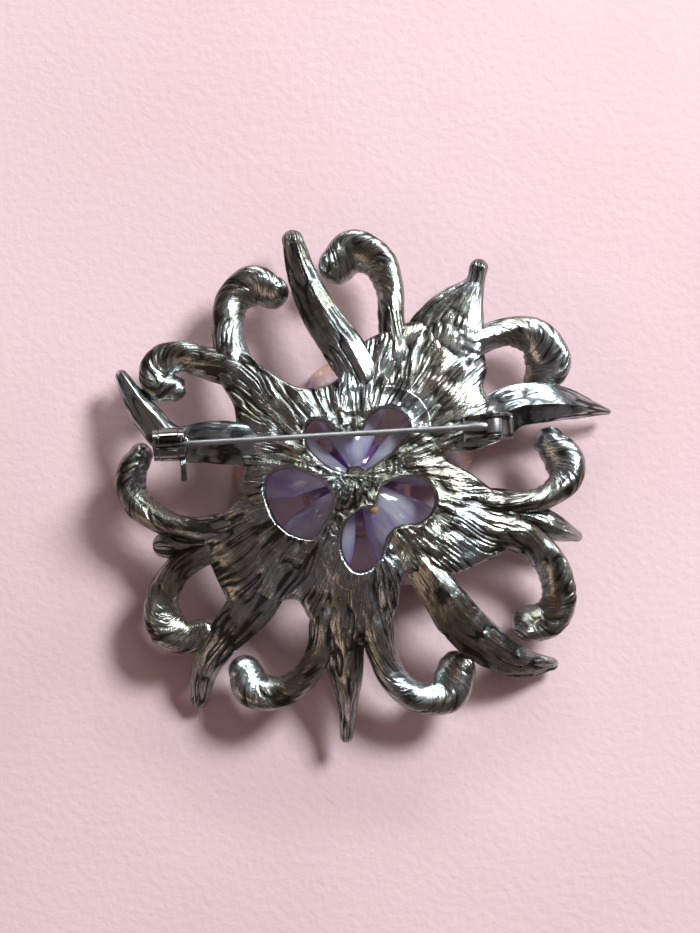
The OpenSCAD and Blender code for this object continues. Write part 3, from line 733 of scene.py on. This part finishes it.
def fur(x, y):
    """Relief in mm, groove and run of the web at (x, y).

    Strokes run along the rays from the hub: 90 to a turn near it, then 150, and 260 at the edge."""
    r, theta = np.hypot(x - HUB[0], y - HUB[1]), np.arctan2(y - HUB[1], x - HUB[0])
    lane = theta / (2 * np.pi) + 0.5
    lane = lane + 0.012 * (noise(r / 5.0, lane * 30, 3, 30) - 0.5)
    close = strokes(r / 2.6, lane * 90, 11, 90)
    near = strokes(r / 3.4 + 1.0, lane * 150, 4, 150)
    far = strokes(r / 3.4 + 1.0, lane * 260, 5, 260)
    fine = strokes(r / 1.7, lane * 420, 6, 420, sharp=2.0)
    inner_mix, outer_mix = ease(r, 7.0, 10.0), ease(r, 12.0, 18.0)
    wear = 0.35 + 0.65 * ease(noise(r / 3.0, lane * 60, 7, 60), 0.3, 0.6)
    groove = (1 - inner_mix) * close + inner_mix * ((1 - outer_mix) * near + outer_mix * far)
    groove = np.clip((groove + 0.3 * fine) * wear, 0, 1)
    pits = (1 - ease(r, 8.0, 12.0)) * strokes(x / 0.9, y / 0.9, 21, sharp=2.5)
    groove = np.maximum(groove, 0.8 * pits)
    waves = noise(r / 6.0, lane * 44, 8, 44) - 0.5
    flats = noise(r / 2.4, lane * 90, 9, 90) - 0.5
    lumps = (1 - ease(r, 7.0, 14.0)) * (noise(x / 1.5, y / 1.5, 22) - 0.5)
    run = np.stack([r, lane * 2 * np.pi * 16.0, 0 * r], axis=-1)
    return 0.6 * waves + 0.25 * flats + 0.7 * lumps - 0.26 * groove, groove, run


rims = [loop(points, 10) for points in WINDOWS]
print("windows reach", [round(float(np.hypot(*(rim - HUB).T).max()), 1) for rim in rims], "mm from the hub")

# %% [markdown]
# The large outer part is one closed band round the hub: rings of points, whose top, bottom and two
# edges follow each other. Its inner edge lies a little outside the windows.

# %% The band
def web_band(n=1000, n_top=58, n_under=8, margin=1.9, lip=0.6):
    """The band as rings round the hub. q runs from -1 at its inner edge to 1 at its outer edge.

    The inner edge is the farthest window point within 9 degrees, plus `margin`, averaged over
    12 degrees, and is rounded off by a quarter circle over `lip`. The outer edge is rounded off
    by thick (1 - sqrt(1 - q^7)) / 2."""
    turn = np.linspace(-np.pi, np.pi, n, endpoint=False)
    rim, edge = np.concatenate(rims) - HUB, loop(WEB_EDGE, 40) - HUB
    gap = np.abs((turn[:, None] - np.arctan2(rim[:, 1], rim[:, 0]) + np.pi) % (2 * np.pi) - np.pi)
    inner = np.where(gap < np.radians(9), np.hypot(*rim.T), 0).max(axis=1) + margin
    inner = np.convolve(np.tile(inner, 3), np.hanning(34) / np.hanning(34).sum(), "same")[n:2 * n, None]
    edge_turn = np.arctan2(edge[:, 1], edge[:, 0])
    outer = np.interp(turn, edge_turn, np.hypot(*edge.T), period=2 * np.pi)[:, None]
    q_top = np.sin(np.linspace(-np.pi / 2, np.pi / 2, n_top))
    q_top = 0.5 * q_top + 0.5 * np.linspace(-1, 1, n_top)
    q = np.concatenate([q_top, np.linspace(1, -1, n_under + 2)[1:-1]])[None, :]
    above = np.arange(q.shape[1])[None, :] < n_top
    r = (inner + outer) / 2 + (outer - inner) / 2 * q
    x, y = HUB[0] + r * np.cos(turn)[:, None], HUB[1] + r * np.sin(turn)[:, None]
    relief, groove, run = fur(x, y)
    near = 1 - np.clip((r - inner) / lip, 0, 1)
    rounding = np.minimum(np.sqrt(1 - near ** 2), np.sqrt(np.clip(1 - np.clip(q, 0, 1) ** 7, 0, 1)))
    drop = WEB_THICK / 2 * (1 - rounding)
    high = dome(x, y) - 0.15
    z = np.where(above, high + relief - drop, high - WEB_THICK + drop)
    return np.stack([x, y, z], axis=-1), run, np.where(above, groove, 0.2)


web = skin("web", *web_band(), closed=True)
dress(web, casting_plate, stands_for=["hub_web"])
print("web faces:", len(web.data.polygons))

# %% [markdown]
# The middle of the hub is a piece with three holes, which rings cannot follow. It is cut from a
# square grid instead. Squares whose middle lies inside the wanted shape are kept, and the points on
# the rim of what is kept are pulled onto the true outline. Top and bottom share those rim points, so
# the piece is closed. Its outer margin dives under the band.

# %% The middle of the hub
def hub_middle(step=0.13, reach=3.9, core=9.0, lip=0.75, dip=1.1):
    """(points, faces, run, groove) of all that lies within `reach` of a window, or `core` of the hub.

    Edges are quarter circles: thick (1 - sqrt(1 - (1 - d / lip)^2)) / 2 at a distance d < lip from
    a rim. The outer margin dives by `dip` over its last 0.8 mm."""
    x, y = np.meshgrid(np.arange(-18, 14.3, step), np.arange(-17, 14.3, step), indexing="ij")
    window = -np.max([inside_by(x, y, rim) for rim in rims], axis=0)
    margin = np.maximum(reach - window, core - np.hypot(x - HUB[0], y - HUB[1]))
    within = np.minimum(window, margin)
    middle = (within[1:, 1:] + within[:-1, 1:] + within[1:, :-1] + within[:-1, :-1]) / 4
    kept = middle > 0
    used, whole = np.zeros(x.shape, bool), np.ones(x.shape, bool)
    for di, dj in ((0, 0), (1, 0), (0, 1), (1, 1)):
        used[di:di + kept.shape[0], dj:dj + kept.shape[1]] |= kept
        whole[di:di + kept.shape[0], dj:dj + kept.shape[1]] &= kept
    rim = used & ~whole
    gx, gy = np.gradient(within, step)
    pull = np.where(rim, within / np.maximum(gx ** 2 + gy ** 2, 0.5), 0)
    x, y = x - pull * gx, y - pull * gy
    relief, groove, run = fur(x, y)
    edge = np.where(rim, 0, np.clip(within, 0, lip)) / lip
    drop = WEB_THICK / 2 * (1 - np.sqrt(1 - (1 - edge) ** 2))
    smooth_lip = ease(window, 0.1, 0.7)
    raised = 0.1 * np.exp(-((window - 0.4) / 0.3) ** 2)
    dive = dip * (1 - ease(margin, 0.0, 0.8))
    high = dome(x, y) - 0.125 - dive
    top = high + (relief * smooth_lip + raised) * ease(edge, 0, 1) - drop
    under = high - WEB_THICK + drop
    index = np.full(x.shape, -1)
    index[used] = np.arange(used.sum())
    inside = used & ~rim
    lower = np.where(rim, index, used.sum() + np.cumsum(inside).reshape(x.shape) - 1)
    sides = [np.stack([x, y, z], axis=-1) for z in (top, under)]
    i, j = np.nonzero(kept)
    faces = [np.stack([side[i, j], side[i + 1, j], side[i + 1, j + 1], side[i, j + 1]], axis=1)
             for side in (index, lower)]
    faces[1] = faces[1][:, ::-1]
    both = [np.concatenate([over[used], below[inside]])
            for over, below in (sides, (run, run), (groove * smooth_lip, groove * smooth_lip))]
    return both[0], faces, both[1], both[2]


hub = solid("hub_middle", *hub_middle())
dress(hub, casting_plate)
print("hub faces:", len(hub.data.polygons))

# %% [markdown]
# ## Plates, tubes and turned rings
#
# The fittings are bent sheet and turned metal, so two shapes do for nearly all of them. A plate is an
# outline pushed through a thickness. A ring is a profile carried round an axis. Both come as points
# and faces, and `fitting` makes one object of as many as it needs, with bevelled edges. Edges
# sharper than 35 degrees stay crisp, and the rest shade smoothly.

# %% Builders for the fittings
CRISP = np.radians(35)


def extruded(outline, lo, hi, axis):
    """(points, faces) of a 2-D outline pushed from lo to hi along axis 0, 1 or 2."""
    flat = np.asarray(outline, float)
    m = len(flat)
    ends = [np.insert(flat, axis, where, axis=1) for where in (lo, hi)]
    j, k = np.arange(m), (np.arange(m) + 1) % m
    walls = np.stack([j, k, k + m, j + m], axis=1)
    caps = np.stack([np.arange(m)[::-1], np.arange(m) + m])
    return np.concatenate(ends), [walls, caps]


def revolved(profile, centre, axis, n=64):
    """(points, faces) of a closed [radius, along] profile carried round an axis through centre."""
    t = np.linspace(0, 2 * np.pi, n, endpoint=False)[:, None]
    r, along = np.asarray(profile, float).T
    flat = [r * np.cos(t), r * np.sin(t)]
    flat.insert(axis, along + 0 * t)
    return (np.stack(flat, axis=-1) + centre).reshape(-1, 3), [grid_faces(n, len(r), True)]


def merged(*shells):
    """Joins (points, faces) shells into one."""
    count, points, faces = 0, [], []
    for some_points, some_faces in shells:
        points.append(some_points)
        faces += [f + count for f in some_faces]
        count += len(some_points)
    return np.concatenate(points), faces


def arc(radius, start, stop, n, centre=(0.0, 0.0)):
    """n points of an arc in degrees: centre + radius (cos, sin)."""
    t = np.radians(np.linspace(start, stop, n))
    return np.stack([centre[0] + radius * np.cos(t), centre[1] + radius * np.sin(t)], axis=1)


def fitting(name, shells, bevel=0.07, material=fitting_plate, body="brooch",
            stands_for=()):
    """One object made of closed shells, each with its faces outwards and its edges bevelled."""
    parts = []
    for points, faces in shells:
        part = solid(name, points, faces)
        part.data.set_sharp_from_angle(angle=CRISP)
        parts.append(part)
    with bpy.context.temp_override(active_object=parts[0], selected_editable_objects=parts):
        if len(parts) > 1:
            bpy.ops.object.join()
    made = parts[0]
    if bevel:
        edge = made.modifiers.new("edge", "BEVEL")
        edge.width, edge.segments, edge.angle_limit = bevel * MM, 2, CRISP
        edge.harden_normals = False
    return dress(made, material, body, stands_for)


print("a 12-sided arc ends at", arc(2.0, 0, 180, 12)[-1].round(2))

# %% [markdown]
# ## The hinge
#
# A strip bent into a U is soldered to the right arm. Its ears rise round the rivet, and its back wall
# stops the pin from swinging too far. The rivet's ends are peened over into low domes.

# %% Hinge bracket and rivet
PIN_Y, PIN_Z = 6.0, 15.0
RIVET_X, CATCH_X = 18.3, -26.3
EAR_GAP, EAR = 2.5, 0.5
ear_outline = np.concatenate([
    [[20.85, 11.25], [20.85, 14.2]], arc(1.25, 10, 165, 14, (RIVET_X, PIN_Z)),
    [[16.3, 14.0], [15.1, 13.2], [14.45, 12.2], [14.4, 11.25]]])
floor_outline = [[14.1, PIN_Y - 1.75], [20.9, PIN_Y - 1.75], [20.9, PIN_Y + 1.75], [14.1, PIN_Y + 1.75]]
back_outline = [[PIN_Y - 1.7, 11.3], [PIN_Y + 1.7, 11.3], [PIN_Y + 1.7, 14.3], [PIN_Y + 1.2, 14.75],
                [PIN_Y - 1.2, 14.75], [PIN_Y - 1.7, 14.3]]
ears = [extruded(ear_outline, PIN_Y + side * (EAR_GAP / 2 + EAR / 2) - EAR / 2,
                 PIN_Y + side * (EAR_GAP / 2 + EAR / 2) + EAR / 2, 1) for side in (-1, 1)]
strip = [extruded(floor_outline, 11.2, 11.8, 2), extruded(back_outline, 20.4, 20.9, 0)]
bracket = fitting("hinge_look", ears + strip, bevel=0.1, stands_for=["hinge_bracket"])
head = [[0.001, 2.1], [0.45, 2.08], [0.72, 1.98], [0.8, 1.85], [0.78, 1.76], [0.44, 1.76], [0.44, -1.76],
        [0.78, -1.76], [0.8, -1.85], [0.72, -1.98], [0.45, -2.08], [0.001, -2.1]]
rivet = fitting("rivet_look", [revolved(head, [RIVET_X, PIN_Y, PIN_Z], 1, 40)], bevel=0,
                stands_for=["hinge_rivet"])
print("bracket", len(bracket.data.polygons), "faces, rivet", len(rivet.data.polygons))

# %% [markdown]
# ## The pin
#
# The wire is flattened into an eye at one end, thickened where it leaves the eye, and ground to a
# point at the other. It is a tube whose radius changes along it, and a turned ring.

# %% Needle and eye
def tube(points, radii, n=32):
    """(points, faces) of a round tube through points in the x direction, closed by its narrow ends."""
    points, radii = np.asarray(points, float), np.asarray(radii, float)
    t = np.linspace(0, 2 * np.pi, n, endpoint=False)[None, :]
    rings = np.stack([points[:, 0:1] + 0 * t, points[:, 1:2] + radii[:, None] * np.cos(t),
                      points[:, 2:3] + radii[:, None] * np.sin(t)], axis=-1)
    j = np.arange(n)
    caps = np.stack([j[::-1], (len(points) - 1) * n + j])
    return rings.reshape(-1, 3), [grid_faces(len(points), n, False), caps]


WIRE = [[17.4, 0.55], [17.25, 0.62], [16.6, 0.64], [15.6, 0.6], [15.0, 0.46], [14.6, 0.4], [0.0, 0.4],
        [-12.0, 0.4], [-22.0, 0.4], [-23.2, 0.395], [-24.2, 0.33], [-25.2, 0.22], [-25.9, 0.11],
        [-26.15, 0.03]]
wire = tube([[x, PIN_Y, PIN_Z] for x, _ in WIRE], [radius for _, radius in WIRE])
eye_profile = [[0.5, -0.9], [0.5, 0.9], [0.6, 1.02], [0.95, 1.02], [1.1, 0.9], [1.15, 0.6], [1.15, -0.6],
               [1.1, -0.9], [0.95, -1.02], [0.6, -1.02]]
needle = fitting("needle", [wire, revolved(eye_profile, [RIVET_X, PIN_Y, PIN_Z], 1, 48)], bevel=0,
                 material=pin_wire, body="pin", stands_for=["pin_stem"])
print("needle", len(needle.data.polygons), "faces")

# %% [markdown]
# ## The rollover catch
#
# A slit barrel stands on a foot. Inside it turns a slit sleeve with a collar at each end and a thumb
# tab. With the slits in line the wire drops in, and a quarter turn locks it. The collars and the
# barrel are C-shaped outlines with a thickness. The tab carries raised lines for the thumb.

# %% Catch barrel and roller
def slit_ring(outer, inner, slot, cx=PIN_Y, cz=PIN_Z, n=44):
    """C-shaped outline in Y and Z: an outer arc, then an inner arc back, open by `slot` at the top."""
    a, b = np.degrees(np.arccos(slot / 2 / outer)), np.degrees(np.arccos(slot / 2 / inner))
    return np.concatenate([arc(outer, a, -180 - a, n, (cx, cz)), arc(inner, -180 - b, b, n, (cx, cz))])


def along_x(outline, middle, length):
    """A plate of that length along the pin, its middle so far from the catch's own."""
    return extruded(outline, CATCH_X + middle - length / 2, CATCH_X + middle + length / 2, 0)


barrel = along_x(slit_ring(2.3, 1.8, 2.0), 0, 2.6)
foot_outline = [[PIN_Y - 1.3, 11.2], [PIN_Y + 1.3, 11.2], [PIN_Y + 1.15, 13.1], [PIN_Y - 1.15, 13.1]]
foot_block = along_x(foot_outline, 0, 2.5)
foot_plate = extruded(np.concatenate([arc(1.9, -60, 60, 12, (CATCH_X + 0.7, PIN_Y)),
                                      arc(1.9, 120, 240, 12, (CATCH_X - 0.7, PIN_Y))]), 11.05, 11.7, 2)
housing = fitting("catch_look", [barrel, foot_block, foot_plate], bevel=0.09, stands_for=["catch_housing"])
sleeve = along_x(slit_ring(1.75, 0.95, 1.3), 0, 3.1)
collars = [along_x(slit_ring(2.2, 0.97, 1.3), side * 1.75, 0.8) for side in (-1, 1)]
tab_outline = np.concatenate([[[PIN_Y - 1.2, 14.1], [PIN_Y - 1.2, 15.0]],
                              arc(0.45, 90, 270, 10, (PIN_Y - 4.75, 14.55))])
ridges = [along_x([[PIN_Y - 4.6, 14.9], [PIN_Y - 2.1, 14.9], [PIN_Y - 2.1, 15.12], [PIN_Y - 4.6, 15.12]],
                  1.75 + shift, 0.14) for shift in (-0.24, 0.0, 0.24)]
roller = fitting("roller_look", [sleeve] + collars + [along_x(tab_outline, 1.75, 0.8)] + ridges, bevel=0.06,
                 body="catch", stands_for=["catch_roller"])
print("catch", len(housing.data.polygons), "faces, roller", len(roller.data.polygons))

# %% [markdown]
# ## The petals
#
# Two rings of petals hang under the hub, the inner ring in front of the outer. Each is a lens of acrylic:
# a wedge near the axis, round at its tip, thin at its edge and thick along its middle, with two
# shallow hollows beside the middle rib. Light that enters at the edge comes out along the rim, and
# that glow is also painted into the petals' colour along the rim that `edge` marks.

# %% Petal surface
SEAT_Z = 9.4
PETALS, FLOWER_TURN = 5, 20.0


def petal(reach, wide, z_in, z_out, thick, swell, twist, n=60, m=56):
    """A petal along +X, as (rings, run, edge). u runs from root to tip, and v across.

    Half width: a wedge, then an ellipse. Thickness: thick sqrt(1 - v^2). Middle surface:
    z_in + (z_out - z_in) u^1.7 - 0.09 half v^2 (1 - u). `swell` domes the side that faces the back,
    and `twist` lifts one side edge and lowers the other."""
    u = np.sin(np.linspace(0, np.pi / 2, n))[:, None]
    a = section_angles(m)[None, :]
    v, up = np.cos(a), np.sin(a)
    wedge = 0.46 * (1.5 + u * (reach - 1.5)) + 0.2
    round_tip = wide / 2 * np.sqrt(np.clip(1 - (np.maximum(0, u - 0.6) / 0.405) ** 2, 0, 1))
    half = (np.maximum(wedge, 0.01) ** -5.0 + np.maximum(round_tip, 0.01) ** -5.0) ** -0.2
    half = half * (1 + 0.16 * np.sin(np.pi * np.clip(u / 0.7, 0, 1)))
    x = 1.5 + u * (reach - 1.5) - 0.05 * half * v * v
    y = half * v
    middle = z_in + (z_out - z_in) * u ** 1.7 - 0.09 * half * v * v * (1 - u) - thick / 2
    middle = middle + twist * half * v * np.sin(np.pi * np.clip(u, 0, 1))
    full = np.sqrt(np.clip(1 - v * v, 0, 1)) ** 0.8 * np.sqrt(np.clip(1 - u ** 8, 0, 1))
    rib = 0.12 * np.exp(-(v / 0.1) ** 2) - 0.16 * np.exp(-((np.abs(v) - 0.45) / 0.2) ** 2)
    dome_up = swell * np.sin(np.pi * np.clip(u * 1.05, 0, 1)) ** 0.7 * (1 - v ** 4)
    proud = (dome_up + rib * ease(u, 0.1, 0.4)) * full
    z = middle + np.where(up > 0, thick / 2 * full + proud, -thick / 2 * full)
    run = np.stack([x + 0 * v, y, ease(u, 0.72, 0.95) + 0 * v], axis=-1)
    edge = np.clip(np.abs(v) ** 14 + ease(u, 0.985, 1.0), 0, 1)
    return np.stack([x + 0 * v, y, z], axis=-1), run, edge


def turned_to(rings, degrees):
    """Rings turned about the flower's axis, then moved from the axis to the hub."""
    c, s = np.cos(np.radians(degrees)), np.sin(np.radians(degrees))
    x, y = rings[..., 0], rings[..., 1]
    return np.stack([HUB[0] + c * x - s * y, HUB[1] + s * x + c * y, rings[..., 2]], axis=-1)


# %% [markdown]
# Five petals make each ring, all of one shape. The inner ring stands half a step on from the outer.

# %% Ten petals
def ring_of_petals(kind, step, material, *size):
    """Five petals of a kind, turned on from the flower's first direction by `step` petals."""
    rings, run, edge = petal(*size)
    for number in range(1, PETALS + 1):
        turn = 360 / PETALS * (number - 1 + step) + FLOWER_TURN
        own_run = run + [40.0 * number, 0, 0]
        made = skin(f"petal_{kind}_look_{number}", turned_to(rings, turn), own_run, edge)
        dress(made, material, stands_for=[f"petal_{kind}_{number}"])
    return made


outer = ring_of_petals("outer", 0.0, petal_lilac, 17.5, 14.6, SEAT_Z - 0.02, 1.1, 1.1, 1.5, 0.14)
inner = ring_of_petals("inner", 0.5, petal_violet_painted_shade, 8.0, 6.6, SEAT_Z - 1.14, 3.0, 1.1, 0.0, 0.1)
print("petals:", 2 * PETALS, "of", len(outer.data.polygons), "faces")

# %% [markdown]
# ## Post, seat, cup and centre stone
#
# The petals are threaded on a post with a collar above them and a cup below. The cup's claws hold a
# round cut stone. A cut stone is flat facets round an axis, so it is turned with only eight sides and
# shaded flat. Stones and beads of metal come in sets, so one shell is set down at many places.

# %% Flower centre
CUP_Z = 1.9
hub_at = [HUB[0], HUB[1], 0.0]
post_profile = [[0.001, 3.3], [0.9, 3.3], [0.9, 11.2], [0.75, 11.45], [0.001, 11.5]]
seat_profile = [[0.92, SEAT_Z], [1.25, SEAT_Z], [1.4, SEAT_Z + 0.15], [1.4, SEAT_Z + 0.65],
                [1.25, SEAT_Z + 0.8], [0.92, SEAT_Z + 0.8]]
cup_profile = [[0.001, CUP_Z + 1.7], [1.6, CUP_Z + 1.7], [2.3, CUP_Z + 0.9], [2.7, CUP_Z + 0.2],
               [2.72, CUP_Z - 0.75], [2.62, CUP_Z - 0.9], [2.45, CUP_Z - 0.85], [2.4, CUP_Z],
               [1.5, CUP_Z + 1.2], [0.001, CUP_Z + 1.2]]
fitting("post_look", [revolved(post_profile, hub_at, 2, 40)], 0, casting_plate,
        stands_for=["flower_post"])
fitting("seat_look", [revolved(seat_profile, hub_at, 2, 72)], 0, casting_plate,
        stands_for=["flower_seat"])


def repeated(points, faces, centres):
    """(points, faces) of one shell set down at each of the centres."""
    step = (np.arange(len(centres)) * len(points))[:, None, None]
    places = (np.asarray(centres, float)[:, None, :] + points[None]).reshape(-1, 3)
    return places, [(f[None] + step).reshape(-1, f.shape[1]) for f in faces]


def bead_points(centres, radius, n=8):
    """(points, faces) of small closed balls round each centre: stacked rings whose radius is R sin(t)."""
    t = np.linspace(0.12, np.pi - 0.12, 6)[:, None]
    a = np.linspace(0, 2 * np.pi, n, endpoint=False)[None, :]
    ball = np.stack([np.sin(t) * np.cos(a), np.sin(t) * np.sin(a), np.cos(t) + 0 * a], axis=-1)
    caps = np.stack([np.arange(n)[::-1], 5 * n + np.arange(n)])
    return repeated(radius * ball.reshape(-1, 3), [grid_faces(6, n, False), caps], centres)


claws = np.radians(np.arange(0, 360, 60))
claw_x, claw_y = HUB[0] + 2.45 * np.cos(claws), HUB[1] + 2.45 * np.sin(claws)
claw_at = np.stack([claw_x, claw_y, 0 * claws + CUP_Z - 0.75], axis=1)
cup_shells = [revolved(cup_profile, hub_at, 2, 64), bead_points(claw_at, 0.36, 12)]
fitting("cup_look", cup_shells, 0, fitting_plate, stands_for=["centre_cup"])


def cut_stones(name, centres, radius, table, culet, material, stands_for):
    """Round cut stones, face down: rings of eight points at the table, crown, girdle and culet.

    levels holds each ring's radius and height, and turn how far it is turned, up to half a step."""
    levels = np.array([[table, -0.62], [0.82, -0.38], [1.0, -0.12], [1.0, 0.02], [0.62, 0.42],
                       [culet, 0.72]])
    turn = np.array([0, 0.5, 0, 0, 0.5, 0]) * np.pi / 4
    a = np.arange(8) * np.pi / 4
    t = turn[:, None] + a[None, :]
    wide, high = levels[:, :1], levels[:, 1:]
    one = np.stack([wide * np.cos(t), wide * np.sin(t), high + 0 * t], axis=-1).reshape(-1, 3)
    quads = grid_faces(6, 8, False)
    tris = np.concatenate([quads[:, [0, 1, 2]], quads[:, [0, 2, 3]]])
    caps = np.stack([np.arange(8)[::-1], 40 + np.arange(8)])
    made = solid(name, *repeated(radius * one, [tris, caps], centres), smooth=False)
    return dress(made, material, stands_for=[stands_for])


cut_stones("centre_gem", [[HUB[0], HUB[1], CUP_Z - 0.1]], 2.25, 0.58, 0.1, glass_clear,
           "centre_stone")
print("claws:", len(claw_at))

# %% [markdown]
# ## Stones along the hooks
#
# On the front each hook carries a row of small round stones in beaded settings. They are the same cut
# stone repeated at stations along the hook's own line, with a ring and four grains of metal to each,
# so only their places are computed.

# %% Stone rows and their settings
STONE_R, SCROLL_T, SINK = 0.85, 3.2, 0.3
spread = np.linspace(0.3, 0.98, 5)
for number, points in enumerate(HOOKS, 1):
    path, _ = smooth_line(points[1:], 200)
    at = path[np.round(spread * 199).astype(int)]
    z = dome(at[:, 0], at[:, 1]) + at[:, 3] - SCROLL_T - 0.5 + SINK
    centres = np.column_stack([at[:, :2], z + 0.1])
    cut_stones(f"stone_row_{number:02d}", centres, STONE_R, 0.55, 0.12, glass_peach,
               f"stones_{number:02d}")
    around = np.radians([45, 135, 225, 315])
    grain_x, grain_y = 0.92 * np.cos(around), 0.92 * np.sin(around)
    grains = centres[:, None, :] + np.stack([grain_x, grain_y, 0 * around - 0.2], axis=1)
    collar = [[0.8, 0.35], [0.8, -0.05], [0.9, -0.12], [1.02, -0.05], [1.05, 0.35]]
    rings = [revolved(collar, centre, 2, 24) for centre in centres]
    shells = [merged(*rings), bead_points(grains.reshape(-1, 3), 0.2)]
    fitting(f"setting_{number:02d}", shells, 0, fitting_plate)
print("rows of", len(centres), "stones under", len(HOOKS), "hooks")

# %% [markdown]
# ## A bead of glue
#
# Some adhesive has squeezed up between two petals. It is a flattened drop, wider at its foot.

# %% Glue bead
t = np.linspace(0.05, np.pi - 0.05, 24)[:, None]
a = np.linspace(0, 2 * np.pi, 36, endpoint=False)[None, :]
wobble = 0.82 + 0.14 * np.cos(a + 0.6) + 0.06 * np.cos(3 * a) * np.sin(t)
drop = np.stack([1.1 + wobble * np.sin(t) * np.cos(a), -4.0 + 0.95 * wobble * np.sin(t) * np.sin(a),
                 9.1 + 0.85 * np.cos(t) + 0 * a], axis=-1)
glue = skin("glue_drop", drop)
dress(glue, glue_amber, stands_for=["glue_bead"])
print("glue bead", len(glue.data.polygons), "faces")
